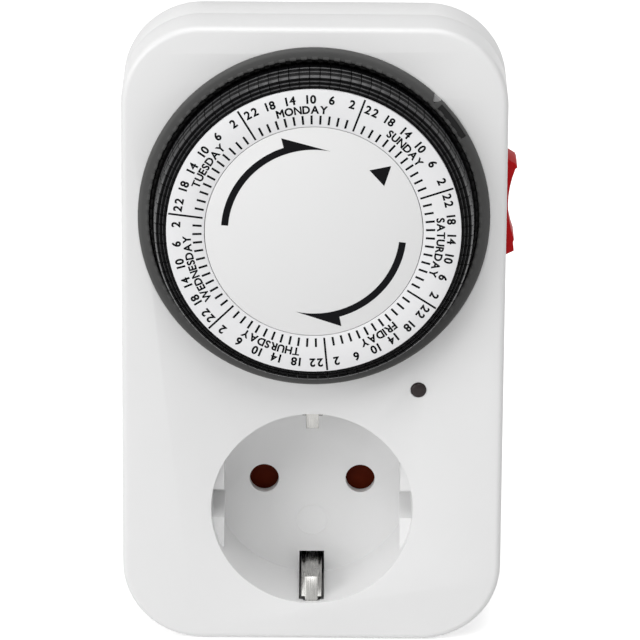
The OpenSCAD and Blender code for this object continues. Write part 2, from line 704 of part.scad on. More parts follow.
// Shutter
module shutter() color([0.35, 0.1, 0.09]) stand() difference() {
    union() {
        rod([0, 0], 3.6, shutter_low, shutter_top);
        layer(shutter_low, shutter_top) square([2*pin_x, 5], center = true);
        for (x = [-pin_x, pin_x]) rod([x, 0], hole_d/2 + 1, shutter_low, shutter_top);
    }
    rod([0, 0], shutter_post_r + fit, shutter_low - 1, shutter_top + 1);
}
module shutter_clip() color("silver") stand()
    ring([0, 0], 3, shutter_post_r + 0.02, floor_back - shutter_t - 1.3, shutter_low - 0.1);
module shutter_spring() color("silver") stand()
    layer(shutter_low - 0.7, shutter_low - 0.2) strip([[3.4, -3], [4.6, 4.5], [-2, 11.5], [-11, 12.6]], 0.5);

// Rocker
module rocker_outline() {
    end = rocker_len/2;
    polygon(concat(
        [[-1.6, -end + 0.6], [3.1, -end],
            [3.2 + rocker_lobe - 0.4, -end + 0.9], [3.2 + rocker_lobe - 0.6, -end + 2.6]],
        [for (t = [0:0.125:1]) [3.2 + 0.4 + 1.3*pow(2*t - 1, 2), -end + 3.2 + t*(2*end - 5.4)]],
        [[3.2 + rocker_lobe, end - 1.9], [3.2 + rocker_lobe - 0.3, end - 1.2],
            [3.1, end], [-1.6, end - 0.6]]));
}
module rocker() color([0.75, 0.12, 0.13]) stand() translate([rocker_pivot_x, rocker_y, rocker_z]) {
    translate([0, 0, -rocker_w/2]) linear_extrude(rocker_w) rocker_outline();
    rod([0, 0], rocker_pin_r, -rocker_w/2 - frame_t - gap, rocker_w/2 + frame_t + gap);
    block([-4.2, -1, -1.2], [-1.5, 1, 1.2]);
}
module rocker_frame() color("gray") stand() translate([rocker_pivot_x, rocker_y, rocker_z]) {
    back = -3.2;
    front = 3.2 - wall - fit;
    half = rocker_w/2 + gap;
    for (side = [-1, 1]) difference() {
        block([back, -rocker_slot - 1, side > 0 ? half : -half - frame_t],
              [front, rocker_slot + 1, side > 0 ? half + frame_t : -half]);
        rod([0, 0], rocker_pin_r + fit, -rocker_w, rocker_w);
    }
    for (side = [-1, 1]) block([back, side > 0 ? rocker_slot : -rocker_slot - 1, -half - eps],
        [front, side > 0 ? rocker_slot + 1 : -rocker_slot, half + eps]);
}

// Indicator and wiring
module indicator_lens() color([0.2, 0.16, 0.16]) stand() {
    rod([lens_x, lens_y], lens_d/2, front_z - 1.2, front_z + 0.1);
    rod([lens_x, lens_y], lens_d/2 + 0.5, front_z - 2.2, front_z - 1.2);
    translate([lens_x, lens_y, front_z + 0.1]) rotate_extrude()
        polygon([[0, 0], [lens_d/2, 0], [lens_d/2*0.8, 0.25], [lens_d/2*0.4, 0.4], [0, 0.45]]);
}
lamp_r = lens_d/2 + 0.5;
lamp_low = inner_front - 11;
module lamp() color([0.9, 0.6, 0.4, 0.6]) stand() {
    rod([lens_x, lens_y], lamp_r, lamp_low, front_z - 2.4);
}
resistor_y = earth_y - 4;
module lamp_resistor() color("tan") stand() {
    wire([[lens_x, lens_y - 1, lamp_low], [lens_x, lens_y - 1, lamp_low - 2],
        [lens_x, resistor_y, lamp_low - 3], [lens_x, resistor_y, load_z + strip_t]], wire_r/2);
    rod([lens_x, resistor_y], 1.1, load_z + strip_t + 2, load_z + strip_t + 8);
}
module lamp_lead() color("royalblue") stand()
    wire([[lens_x, lens_y + 1, lamp_low], [lens_x, lens_y + 1, lamp_low - 4], [pin_x + 7, 10, live_z + 3.2],
        [riser_x, 0, live_z + 2], [riser_x, 0, load_z + strip_t]], wire_r/2);
module motor_leads() color("royalblue") stand() {
    foot = motor_at + [-3, -motor_r - wire_r - 0.1];
    wire([[foot[0], foot[1], can_top - 3], [foot[0], foot[1], can_low],
        [live_x + 6, lens_y - 0.8, live_z + 3], [live_x + 6, lens_y - 0.8, live_z + strip_t]], wire_r);
    wire([[foot[0] + 6, foot[1], can_top - 3], [foot[0] + 6, foot[1], can_low],
        [pin_x + 3.4, 8, live_z + 3.2], [pin_x, sleeve_out + 0.8, live_z + 2],
        [pin_x, sleeve_out + 0.8, load_z + strip_t]], wire_r);
}

front_housing();
rear_housing();
dial_bezel();
dial_wheel();
label_ring();
centre_disc();
segments_1();
segments_2();
segments_3();
segments_4();
segments_5();
segments_6();
segments_7();
segments_8();
dial_axle();
dial_spring();
dial_clip();
gear_plate();
plate_screws();
motor_can();
motor_cover();
motor_coil();
motor_rotor();
idler_gear();
idler_axle();
switch_base();
switch_insulator();
switch_lever();
lever_pin();
contact_arm();
live_bar();
load_bar();
neutral_bar();
live_sleeve();
neutral_sleeve();
contact_carrier();
plug_pin_live();
plug_pin_neutral();
earth_strap();
shutter();
shutter_spring();
shutter_clip();
rocker();
rocker_frame();
indicator_lens();
lamp();
lamp_resistor();
lamp_lead();
motor_leads();
housing_screws();
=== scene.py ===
"""Looks for the plug-in weekly timer switch: printed dial, moulded housings, lights and camera.

Sizes are in millimetres in the bench frame of the part: x to the right, y up the housing and
z from the plug's end face to the user. UP_THE_WALL turns them into the scene's frame. Angles
are in degrees, and those on the dial run clockwise from its top.
"""

import json
import math

import bmesh
import bpy
from mathutils import Matrix, Vector

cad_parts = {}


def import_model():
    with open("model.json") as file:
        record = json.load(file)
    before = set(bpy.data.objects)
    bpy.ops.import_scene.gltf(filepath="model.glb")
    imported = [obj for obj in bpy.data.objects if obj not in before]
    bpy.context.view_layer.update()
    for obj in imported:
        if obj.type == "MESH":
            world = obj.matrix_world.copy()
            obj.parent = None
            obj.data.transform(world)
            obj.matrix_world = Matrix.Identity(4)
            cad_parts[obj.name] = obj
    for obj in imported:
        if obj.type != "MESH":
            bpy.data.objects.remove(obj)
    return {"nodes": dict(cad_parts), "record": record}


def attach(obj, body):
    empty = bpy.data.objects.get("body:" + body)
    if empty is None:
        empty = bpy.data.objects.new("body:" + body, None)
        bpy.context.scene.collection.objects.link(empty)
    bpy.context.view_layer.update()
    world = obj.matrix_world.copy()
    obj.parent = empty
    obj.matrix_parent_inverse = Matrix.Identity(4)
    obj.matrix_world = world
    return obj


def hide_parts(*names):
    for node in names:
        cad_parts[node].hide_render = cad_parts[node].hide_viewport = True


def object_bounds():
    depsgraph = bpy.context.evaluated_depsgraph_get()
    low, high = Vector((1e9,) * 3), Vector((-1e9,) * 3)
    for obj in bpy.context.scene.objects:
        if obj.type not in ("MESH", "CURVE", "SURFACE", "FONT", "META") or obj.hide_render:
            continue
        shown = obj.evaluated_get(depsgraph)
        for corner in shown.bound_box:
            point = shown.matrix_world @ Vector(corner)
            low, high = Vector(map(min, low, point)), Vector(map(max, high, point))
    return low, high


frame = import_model()
cad_box = [list(corner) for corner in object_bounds()]

MM = 0.001
UP_THE_WALL = Matrix(((1, 0, 0, 0), (0, 0, -1, 0), (0, 1, 0, 0), (0, 0, 0, 1)))

# Sizes of the dial and the socket, the same as in part.scad. DIAL_Y and FRONT_Z are places on
# the bench, and the heights are from the front face.
DIAL_Y = 59.8
FRONT_Z = 51.8
SOCKET_DEPTH = 17.5
SEGMENTS = 96
GROUPS = 8
SEGMENT_R = 30.7
SHOULDER_R = 30.3
SEGMENT_IN_R = 28.25
SKIRT_H = 1.0
SHOULDER_H = 7.6
SEGMENT_H = 8.9
LABEL_R = 28.1
LABEL_H = 9.6
DISC_R = 20.75
BEZEL_IN_R = 31.65
BEZEL_R = 33.8
BEZEL_H = 1.2
NOTCH_A = 44.0


# ---------------------------------------------------------------- materials
# Noise scales are in cells to a metre, relief depths in metres
CLOUD_SCALE = 55
SMEAR_SCALE = 240
NOISE_ROUGHNESS = 0.55
GRAIN_DEPTH = 2e-5
STREAK_DEPTH = 1e-5
STREAK_RELIEF = 0.12
TONE_RANGE = (0.3, 0.7)         # of a noise, from one end of a tone to the other
SMEAR_GLOSS = (0.86, 1.14)      # shares of the roughness
STREAK_GLOSS = (0.75, 1.3)


def new_material(name):
    mat = bpy.data.materials.new(name)
    mat.use_nodes = True
    nodes = mat.node_tree.nodes
    return mat, nodes, mat.node_tree.links, nodes["Principled BSDF"]


def add_node(nodes, kind, values):
    """A shader node with values set on its input sockets."""
    node = nodes.new("ShaderNode" + kind)
    for socket, value in values.items():
        node.inputs[socket].default_value = value
    return node


def object_coords(nodes):
    return nodes.new("ShaderNodeTexCoord").outputs["Object"]


def noise(nodes, links, scale, detail):
    tex = add_node(nodes, "TexNoise",
                   {"Scale": scale, "Detail": detail, "Roughness": NOISE_ROUGHNESS})
    links.new(object_coords(nodes), tex.inputs["Vector"])
    return tex.outputs["Fac"]


def ramp_between(nodes, links, fac, dark, light):
    """Goes from one colour to the other over the middle of a noise's range."""
    ramp = nodes.new("ShaderNodeValToRGB")
    elements = ramp.color_ramp.elements
    for element, position, colour in zip(elements, TONE_RANGE, (dark, light)):
        element.position = position
        element.color = (*colour, 1)
    links.new(fac, ramp.inputs["Fac"])
    return ramp.outputs["Color"]


def tinted(nodes, links, fac, colour, spread):
    """A colour that goes a share of itself darker and lighter with the noise."""
    dark = tuple(c*(1 - spread) for c in colour)
    light = tuple(min(c*(1 + spread), 1) for c in colour)
    return ramp_between(nodes, links, fac, dark, light)


def uneven(nodes, links, fac, value, shares):
    """A value that wanders between two shares of itself with the noise."""
    rng = add_node(nodes, "MapRange", {"To Min": value*shares[0], "To Max": value*shares[1]})
    links.new(fac, rng.inputs["Value"])
    return rng.outputs["Result"]


def bump(nodes, links, fac, strength, distance):
    node = add_node(nodes, "Bump", {"Strength": strength, "Distance": distance})
    links.new(fac, node.inputs["Height"])
    return node.outputs["Normal"]


def moulded(name, colour, rough, spread, grain=5200, relief=0.15, specular=0.5):
    """Moulded plastic: faint cloudy tone, fine spark-eroded grain and uneven gloss."""
    mat, nodes, links, bsdf = new_material(name)
    cloud = noise(nodes, links, CLOUD_SCALE, detail=3)
    links.new(tinted(nodes, links, cloud, colour, spread), bsdf.inputs["Base Color"])
    smear = noise(nodes, links, SMEAR_SCALE, detail=5)
    links.new(uneven(nodes, links, smear, rough, SMEAR_GLOSS), bsdf.inputs["Roughness"])
    pores = noise(nodes, links, grain, detail=2)
    links.new(bump(nodes, links, pores, relief, GRAIN_DEPTH), bsdf.inputs["Normal"])
    bsdf.inputs["Specular IOR Level"].default_value = specular
    return mat


def brushed(name, colour, rough, stretch=(1, 1, 40), spread=0.1, streak=900):
    """Drawn or rolled metal: streaks along one direction, in tone, gloss and relief."""
    mat, nodes, links, bsdf = new_material(name)
    mapping = add_node(nodes, "Mapping", {"Scale": stretch})
    tex = add_node(nodes, "TexNoise", {"Scale": streak, "Detail": 5})
    links.new(object_coords(nodes), mapping.inputs["Vector"])
    links.new(mapping.outputs["Vector"], tex.inputs["Vector"])
    fac = tex.outputs["Fac"]
    links.new(tinted(nodes, links, fac, colour, spread), bsdf.inputs["Base Color"])
    links.new(uneven(nodes, links, fac, rough, STREAK_GLOSS), bsdf.inputs["Roughness"])
    links.new(bump(nodes, links, fac, STREAK_RELIEF, STREAK_DEPTH), bsdf.inputs["Normal"])
    bsdf.inputs["Metallic"].default_value = 1
    return mat


WHITE = (0.80, 0.80, 0.80)

# Colour, roughness and spread of the tone, then scale and relief of the grain and the gloss
PLASTICS = {
    "front_plastic": (WHITE, 0.36, 0.008),
    "rear_plastic": (WHITE, 0.42, 0.012, 3800, 0.25),
    "bezel_plastic": ((0.090, 0.090, 0.089), 0.5, 0.06, 4200, 0.3, 0.08),
    "wheel_plastic": ((0.006, 0.006, 0.006), 0.5, 0.1, 5200, 0.15, 0.12),
    "segment_plastic": ((0.002, 0.002, 0.0023), 0.3, 0.12, 3600, 0.3, 0.07),
    # The slopes' material: glossier, and lighter than segment_plastic as a painted highlight
    "segment_edge_painted_highlight": ((0.014, 0.014, 0.0155), 0.3, 0.2, 3600, 0.3, 0.75),
    "label_print": ((0.80, 0.80, 0.81), 0.5, 0.006, 7000, 0.06),
    "disc_print": ((0.79, 0.79, 0.79), 0.46, 0.006, 7000, 0.06),
    "dial_ink": ((0.005, 0.005, 0.006), 0.6, 0.2, 9000, 0.05, 0.06),
    # A plain mid grey for the wedge in the bezel's notch
    "index_grey": ((0.36, 0.36, 0.36), 0.5, 0.06, 5200, 0.2, 0.1),
    "mark_plastic": ((0.024, 0.024, 0.024), 0.4, 0.1, 4200, 0.2, 0.1),
    "rocker_plastic": ((0.46, 0.010, 0.012), 0.46, 0.06, 5200, 0.15, 0.05),
    "shutter_plastic": ((0.072, 0.008, 0.002), 0.45, 0.1, 5200, 0.15, 0.03),
    "lens": ((0.026, 0.018, 0.018), 0.2, 0.2, 2500, 0.05, 0.2),
    "dark_insulator": ((0.03, 0.03, 0.03), 0.5, 0.1),
    "board": ((0.45, 0.33, 0.18), 0.6, 0.15, 2600),
    "gear_nylon": ((0.75, 0.73, 0.65), 0.4, 0.03),
    "carrier_nylon": ((0.70, 0.68, 0.60), 0.45, 0.03),
    "resistor": ((0.55, 0.42, 0.28), 0.4, 0.1),
    "wire_jacket": ((0.05, 0.10, 0.40), 0.45, 0.05),
    "magnet": ((0.05, 0.05, 0.055), 0.6, 0.2, 1800, 0.5),
    "lamp_glass": ((0.80, 0.55, 0.35), 0.08, 0.05, 900, 0.05),
}
# Colour and roughness, then stretch, spread and scale of the streaks
METALS = {
    "steel": ((0.56, 0.56, 0.57), 0.3),
    "plated_steel": ((0.55, 0.57, 0.60), 0.34, (1, 40, 1)),
    "copper_winding": ((0.45, 0.20, 0.10), 0.35, (1, 60, 1), 0.3),
    "brass_strip": ((0.75, 0.57, 0.28), 0.28),
    "nickel": ((0.42, 0.415, 0.40), 0.26, (20, 1, 1), 0.16, 260),
}
MATERIALS = {name: moulded(name, *values) for name, values in PLASTICS.items()}
MATERIALS |= {name: brushed(name, *values) for name, values in METALS.items()}
lamp_shader = MATERIALS["lamp_glass"].node_tree.nodes["Principled BSDF"]
lamp_shader.inputs["Transmission Weight"].default_value = 0.7


# ---------------------------------------------------------------- mesh helpers
SHARP_A = 32        # edges sharper than this are rounded, or drawn sharp on other pieces
ROUNDED_SHARP_A = 50
WELD = 2e-6         # metres
AXIS_WELD = 1e-5    # millimetres
FLAT_A = 0.4        # faces closer to one plane than this become one


def add_object(name, data):
    obj = bpy.data.objects.new(name, data)
    bpy.context.scene.collection.objects.link(obj)
    return obj


def evaluated_mesh(obj):
    bpy.context.view_layer.update()
    depsgraph = bpy.context.evaluated_depsgraph_get()
    return bpy.data.meshes.new_from_object(obj.evaluated_get(depsgraph))


def shade(obj, sharp):
    """Smooth, but for edges sharper than the given angle."""
    obj.data.shade_smooth()
    obj.data.set_sharp_from_angle(angle=math.radians(sharp))


def finish_surface(obj, slot, sharp):
    obj.data.materials.clear()
    obj.data.materials.append(MATERIALS[slot])
    shade(obj, sharp)


def mesh_object(name, bm, slot, body, sharp=SHARP_A):
    """An object from a mesh in metres, riding on a body of the part."""
    bmesh.ops.recalc_face_normals(bm, faces=bm.faces)
    mesh = bpy.data.meshes.new(name)
    bm.to_mesh(mesh)
    bm.free()
    obj = add_object(name, mesh)
    finish_surface(obj, slot, sharp)
    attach(obj, body)
    return obj


def bench_object(name, bm, slot, body, sharp=SHARP_A):
    """An object from a mesh in bench millimetres."""
    bmesh.ops.transform(bm, matrix=Matrix.Scale(MM, 4) @ UP_THE_WALL, verts=bm.verts)
    return mesh_object(name, bm, slot, body, sharp)


def bevel(obj, width, segments):
    """Rounds every sharp edge, as a mould's edges are."""
    mod = obj.modifiers.new("round", "BEVEL")
    mod.width = width*MM
    mod.segments = segments
    mod.limit_method = "ANGLE"
    mod.angle_limit = math.radians(SHARP_A)
    rounded = evaluated_mesh(obj)
    obj.modifiers.clear()
    obj.data = rounded
    shade(obj, ROUNDED_SHARP_A)


def dressed(node, slot, body, width, segments):
    """A piece in the CAD node's own shape, with its edges rounded."""
    bm = bmesh.new()
    bm.from_mesh(frame["nodes"][node].data)
    bmesh.ops.remove_doubles(bm, verts=bm.verts, dist=WELD)
    bmesh.ops.dissolve_limit(bm, angle_limit=math.radians(FLAT_A), verts=bm.verts, edges=bm.edges)
    obj = mesh_object(node + "_dressed", bm, slot, body)
    bevel(obj, width, segments)
    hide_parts(node)


def skin(bm, rows, closed=False):
    """Faces between rows of corners, each a ring around the same section.

    A closed skin joins its last row to its first, and any other has a cap at each end.
    """
    following = rows[1:] + (rows[:1] if closed else [])
    for a, b in zip(rows, following):
        for k in range(len(a)):
            j = (k + 1) % len(a)
            bm.faces.new((a[k], a[j], b[j], b[k]))
    if not closed:
        bm.faces.new(rows[0])
        bm.faces.new(rows[-1][::-1])


# ---------------------------------------------------------------- CAD nodes
# Each takes its slot's material, also the ones that a dressed piece stands for further on
NODE_SHARP_A = 28
SLOTS = {part["node"]: part["material_slot"] for part in frame["record"]["subparts"]}
for node, obj in frame["nodes"].items():
    finish_surface(obj, SLOTS[node], NODE_SHARP_A)


# ---------------------------------------------------------------- shells and fittings
# Node, slot, body, then width and segments of the rounded edges
FITTINGS = (
    ("front_housing", "front_plastic", "housing", 0.3, 3),
    ("rear_housing", "rear_plastic", "housing", 0.25, 2),
    ("dial_bezel", "bezel_plastic", "housing", 0.14, 3),
    ("rocker", "rocker_plastic", "rocker", 0.35, 3),
    ("earth_strap", "nickel", "housing", 0.12, 2),
    ("indicator_lens", "lens", "housing", 0.1, 2),
    ("shutter", "shutter_plastic", "shutter", 0.15, 2),
    ("housing_screws", "steel", "housing", 0.15, 2),
    ("plug_pin_live", "nickel", "housing", 0.25, 3),
    ("plug_pin_neutral", "nickel", "housing", 0.25, 3),
)
for fitting in FITTINGS:
    dressed(*fitting)


# ---------------------------------------------------------------- socket floor
FLOOR_Z = FRONT_Z - SOCKET_DEPTH
RING_Y = -8.7
RING_R = 3.1
RING_STEPS = 64
RING_SECTION = ((-0.2, -0.1), (-0.2, 0.0), (-0.08, 0.07), (0.08, 0.07), (0.2, 0.0), (0.2, -0.1))


def ejector_ring():
    """The faint raised ring that the mould's ejector leaves on the socket's floor."""
    bm = bmesh.new()
    rows = []
    for i in range(RING_STEPS):
        turn = 2*math.pi*i/RING_STEPS
        across, along = math.sin(turn), math.cos(turn)
        rows.append([bm.verts.new(((RING_R + r)*across, RING_Y + (RING_R + r)*along, FLOOR_Z + h))
                     for r, h in RING_SECTION])
    skin(bm, rows, closed=True)
    bench_object("ejector_ring", bm, "front_plastic", "housing")


ejector_ring()


# ---------------------------------------------------------------- dial
def on_dial(angle, radius, height):
    """The bench point at an angle, radius and height on the dial."""
    turn = math.radians(angle)
    return Vector((radius*math.sin(turn), DIAL_Y + radius*math.cos(turn), FRONT_Z + height))


def section_row(bm, profile, angle):
    """The corners of a radius-height profile, stood at an angle on the dial."""
    return [bm.verts.new(on_dial(angle, r, h)) for r, h in profile]


def swept_block(bm, profile, start, end, steps):
    """A closed block: a profile swept from one angle to another."""
    skin(bm, [section_row(bm, profile, start + (end - start)*i/steps) for i in range(steps + 1)])


# A segment's tiers and steps. A chamfer's depth is a share of its tier's ledge, a riser's lean
# one of its step's width, and the groove's points are measured from the next riser's foot.
TIERS = 3
CHAMFER_H = 0.22
CHAMFER_DEPTH = 0.97
STEPS = 3
RISER_LEAN = 0.3
GROOVE_DEPTH = 0.3
GROOVE_LIP, GROOVE_OUTER, GROOVE_INNER = 0.16, 0.11, 0.01
SEGMENT_FILL = 0.93     # share of the pitch
SEGMENT_ROUND = 0.08
STEM = ((28.5, -4.4), (30.4, -4.4), (30.4, SKIRT_H), (28.5, SKIRT_H))
STEM_R = 29.4
STEM_HALF_W = 0.5


def segment_profile():
    """Section of a segment: three chamfered tiers up its wall, then three grooved steps."""
    tier_r, tier_h = (SEGMENT_R - SHOULDER_R)/TIERS, (SHOULDER_H - SKIRT_H)/TIERS
    step_r, step_h = (SHOULDER_R - SEGMENT_IN_R)/STEPS, (SEGMENT_H - SHOULDER_H)/STEPS
    points = [(SEGMENT_IN_R, SKIRT_H)]
    for k in range(TIERS):
        r, h = SEGMENT_R - k*tier_r, SKIRT_H + k*tier_h
        points += [(r, h), (r, h + tier_h - CHAMFER_H), (r - tier_r*CHAMFER_DEPTH, h + tier_h)]
    for k in range(STEPS):
        r, h = SHOULDER_R - k*step_r, SHOULDER_H + k*step_h
        tread = h + step_h
        points += [(r, h), (r - RISER_LEAN*step_r, tread)]
        if k < STEPS - 1:
            foot = r - step_r
            points += [(foot + GROOVE_LIP, tread), (foot + GROOVE_OUTER, tread - GROOVE_DEPTH),
                       (foot + GROOVE_INNER, tread - GROOVE_DEPTH)]
    return points + [(SEGMENT_IN_R, SEGMENT_H)]


def polish_edges(obj):
    """Gives the slopes that run round the dial, where they face outward and forward, a glossier
    material whose lighter colour is a painted highlight.
    """
    least_slope = 0.25      # of the outward and the forward part of a face's normal
    least_both = 0.9        # of their squares, so that slopes to either side are left out
    obj.data.materials.append(MATERIALS["segment_edge_painted_highlight"])
    axis = Vector((0, 0, DIAL_Y*MM))
    for face in obj.data.polygons:
        spoke = face.center - axis
        spoke.y = 0
        outward = face.normal.dot(spoke.normalized())
        forward = -face.normal.y
        if min(outward, forward) > least_slope and outward**2 + forward**2 > least_both:
            face.material_index = 1


def segments():
    """The push-in segments, with their stems, in the groups that move together."""
    pitch = 360/SEGMENTS
    half = pitch*SEGMENT_FILL/2
    stem_half = math.degrees(STEM_HALF_W/STEM_R)
    profile = segment_profile()
    count = SEGMENTS//GROUPS
    for group in range(GROUPS):
        bm = bmesh.new()
        for k in range(count):
            angle = (group*count + k)*pitch
            swept_block(bm, profile, angle - half, angle + half, steps=2)
            swept_block(bm, STEM, angle - stem_half, angle + stem_half, steps=1)
        node = f"segments_{group + 1}"
        obj = bench_object(node + "_dressed", bm, "segment_plastic", node)
        bevel(obj, SEGMENT_ROUND, segments=2)
        # The outward and forward slopes get the lighter material, a painted highlight
        polish_edges(obj)
        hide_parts(node)


segments()


# ---------------------------------------------------------------- bezel
# The rib's radii are from the bezel's inner edge. Heights are from the bezel's front.
RIB = ((0.03, -0.3), (0.66, -0.3), (0.66, -0.02), (0.28, 0.18), (0.03, 0.08))
RIB_HALF_W = 0.56
RIB_SHARP_A = 50
WEDGE_TIP = 0.93        # out from the bezel's inner edge
WEDGE_SET = 0.01        # in from its outer edge
WEDGE_H = -0.33
WEDGE_T = 0.09
WEDGE_FOOT_H = 0.02     # of its lip, above the front face
WEDGE_HALF_W = 0.87
WEDGE_EDGE = 0.08
WEDGE_RIM = 0.16
WEDGE_STEPS = 12
FIELD_INSET = (0.56, 0.46)      # from the bezel's inner and outer edge
FIELD_H = (-0.5, -0.25)
FIELD_A = (2.6, 15.9)           # on from the notch
FIELD_STEPS = 12


def bezel_comb():
    """Low ribs on the bezel's inner edge, one for each segment."""
    half = math.degrees(RIB_HALF_W/BEZEL_IN_R)
    profile = [(BEZEL_IN_R + r, BEZEL_H + h) for r, h in RIB]
    bm = bmesh.new()
    for k in range(SEGMENTS):
        angle = 360*k/SEGMENTS
        swept_block(bm, profile, angle - half, angle + half, steps=1)
    bench_object("bezel_comb", bm, "bezel_plastic", "housing", sharp=RIB_SHARP_A)


def index_mark():
    """The grey wedge that caps the nib and fills the bezel's notch, with a lip down its rim."""
    tip, outer, top = BEZEL_IN_R + WEDGE_TIP, BEZEL_R - WEDGE_SET, BEZEL_H + WEDGE_H
    half = math.degrees(WEDGE_HALF_W/outer)
    rows = []
    bm = bmesh.new()
    for i in range(WEDGE_STEPS + 1):
        side = 2*i/WEDGE_STEPS - 1
        flare = side*side*0.5 + abs(side)*0.5       # a rounded V, from 0 at the tip to 1
        inner = tip + (outer - WEDGE_RIM - tip)*flare
        profile = ((inner, top - WEDGE_T), (inner, top),
                   (outer - WEDGE_EDGE, top), (outer, top - WEDGE_EDGE),
                   (outer, WEDGE_FOOT_H), (outer - WEDGE_T, WEDGE_FOOT_H),
                   (outer - WEDGE_T, top - WEDGE_T))
        rows.append(section_row(bm, profile, NOTCH_A + side*half))
    skin(bm, rows)
    bench_object("index_mark", bm, "index_grey", "housing")


def scale_mark():
    """The darker glossy field beside the index, set into the bezel's shallow recess."""
    inner, outer = BEZEL_IN_R + FIELD_INSET[0], BEZEL_R - FIELD_INSET[1]
    low, high = (BEZEL_H + h for h in FIELD_H)
    start, end = (NOTCH_A + angle for angle in FIELD_A)
    bm = bmesh.new()
    swept_block(bm, ((inner, low), (inner, high), (outer, high), (outer, low)),
                start, end, FIELD_STEPS)
    bench_object("scale_mark", bm, "mark_plastic", "housing")


bezel_comb()
index_mark()
scale_mark()


# ---------------------------------------------------------------- discs under the printing
PRINT_T = 0.02
DISC_EDGE = 0.12
DISC_EDGE_CUT = 0.3     # share of it at its middle point
DISC_STEPS = 192
DISC_GAP = 0.12
DISC_SHARP_A = 25


def printed_disc(name, node, body, slot, r_in, r_out, thickness):
    """A disc or ring with eased edges, whose face lies a print's thickness below the label's."""
    top = LABEL_H - PRINT_T
    low = LABEL_H - thickness
    cut = DISC_EDGE*DISC_EDGE_CUT
    profile = [(r_out, low), (r_out, top - DISC_EDGE), (r_out - cut, top - cut),
               (r_out - DISC_EDGE, top)]
    if r_in:
        profile += [(r_in + DISC_EDGE, top), (r_in + cut, top - cut), (r_in, top - DISC_EDGE),
                    (r_in, low)]
    else:
        profile += [(0, top), (0, low)]
    bm = bmesh.new()
    rows = [section_row(bm, profile, 360*i/DISC_STEPS) for i in range(DISC_STEPS)]
    skin(bm, rows, closed=True)
    bmesh.ops.remove_doubles(bm, verts=bm.verts, dist=AXIS_WELD)
    obj = bench_object(name, bm, slot, body, sharp=DISC_SHARP_A)
    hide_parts(node)


printed_disc("label_disc", "label_ring", "dial", "label_print",
             r_in=DISC_R + DISC_GAP, r_out=LABEL_R, thickness=0.8)
printed_disc("centre_plate", "centre_disc", "housing", "disc_print",
             r_in=0, r_out=DISC_R, thickness=2.0)


# ---------------------------------------------------------------- printing
GLYPHS = {}
STROKE_GAIN = 0.036     # in units of the font
MITRE_LIMIT = 0.5


def emboldened(mesh, gain):
    """The corners of a flat character, with its outline moved outward by the gain."""
    bm = bmesh.new()
    bm.from_mesh(mesh)
    outward = {v.index: [] for v in bm.verts}
    for edge in bm.edges:
        if len(edge.link_faces) == 1:
            loop = edge.link_loops[0]
            run = (loop.link_loop_next.vert.co - loop.vert.co).normalized()
            away = run.cross(loop.face.normal)
            for v in edge.verts:
                outward[v.index].append(away)
    corners = []
    for v in bm.verts:
        sides = outward[v.index]
        push = sum(sides, Vector())
        if len(sides) == 2:
            push /= max(1 + sides[0].dot(sides[1]), MITRE_LIMIT)
        corners.append(v.co + push*gain)
    bm.free()
    return corners


def glyph(char):
    """Flat outline of one character of the built-in font: its corners, faces and width."""
    if char not in GLYPHS:
        curve = bpy.data.curves.new("glyph", "FONT")
        curve.body = char
        curve.resolution_u = 4
        obj = add_object("glyph", curve)
        mesh = evaluated_mesh(obj)
        corners = emboldened(mesh, STROKE_GAIN)
        faces = [tuple(face.vertices) for face in mesh.polygons]
        bpy.data.objects.remove(obj)
        bpy.data.curves.remove(curve)
        bpy.data.meshes.remove(mesh)
        low, high = (limit(c.x for c in corners) for limit in (min, max))
        GLYPHS[char] = ([Vector((c.x - low, c.y, 0)) for c in corners], faces, high - low)
    return GLYPHS[char]


CAP = max(c.y for c in glyph("H")[0])


def lettering(bm, text, angle, radius, height, gap):
    """Characters side by side on an arc, tops outward, centred on an angle."""
    scale = height/CAP
    widths = [glyph(char)[2]*scale for char in text]
    place = -(sum(widths) + gap*(len(text) - 1))/2
    for char, width in zip(text, widths):
        corners, faces, _ = glyph(char)
        turn = angle + math.degrees((place + width/2)/radius)
        place += width + gap
        swing = Matrix.Rotation(-math.radians(turn), 3, "Z")
        centre = on_dial(turn, radius, LABEL_H)
        middle = Vector((width/2, height/2, 0))
        verts = [bm.verts.new(centre + swing @ (c*scale - middle)) for c in corners]
        for face in faces:
            bm.faces.new([verts[i] for i in face])


def bar(bm, angle, inner, outer, width):
    """A radial line of the printed scale."""
    side = [math.degrees(width/2/r) for r in (inner, outer)]
    corners = ((-side[0], inner), (side[0], inner), (side[1], outer), (-side[1], outer))
    bm.faces.new([bm.verts.new(on_dial(angle + a, r, LABEL_H)) for a, r in corners])


def printed(name, bm, body):
    """Gives flat printing its film thickness, down onto the disc under it."""
    bmesh.ops.recalc_face_normals(bm, faces=bm.faces)
    grown = bmesh.ops.extrude_face_region(bm, geom=bm.faces[:])
    moved = [g for g in grown["geom"] if isinstance(g, bmesh.types.BMVert)]
    bmesh.ops.translate(bm, vec=(0, 0, -PRINT_T), verts=moved)
    bench_object(name, bm, "dial_ink", body)


DAYS = ("MONDAY", "SUNDAY", "SATURDAY", "FRIDAY", "THURSDAY", "WEDNESDAY", "TUESDAY")
HOURS = (22, 18, 14, 10, 6, 2)
TICKS = 12
DAY_A = 360/len(DAYS)
FIRST_LINE_A = 20.0 - DAY_A
DAY_LINE = (21.3, 27.9, 0.37)       # inner and outer radius, and width
TICK_LINE = (21.35, 23.1, 0.41)
HOUR_TEXT = (26.3, 1.62, 0.34)      # radius, height and gap
DAY_TEXT = (24.25, 1.5, 0.12)


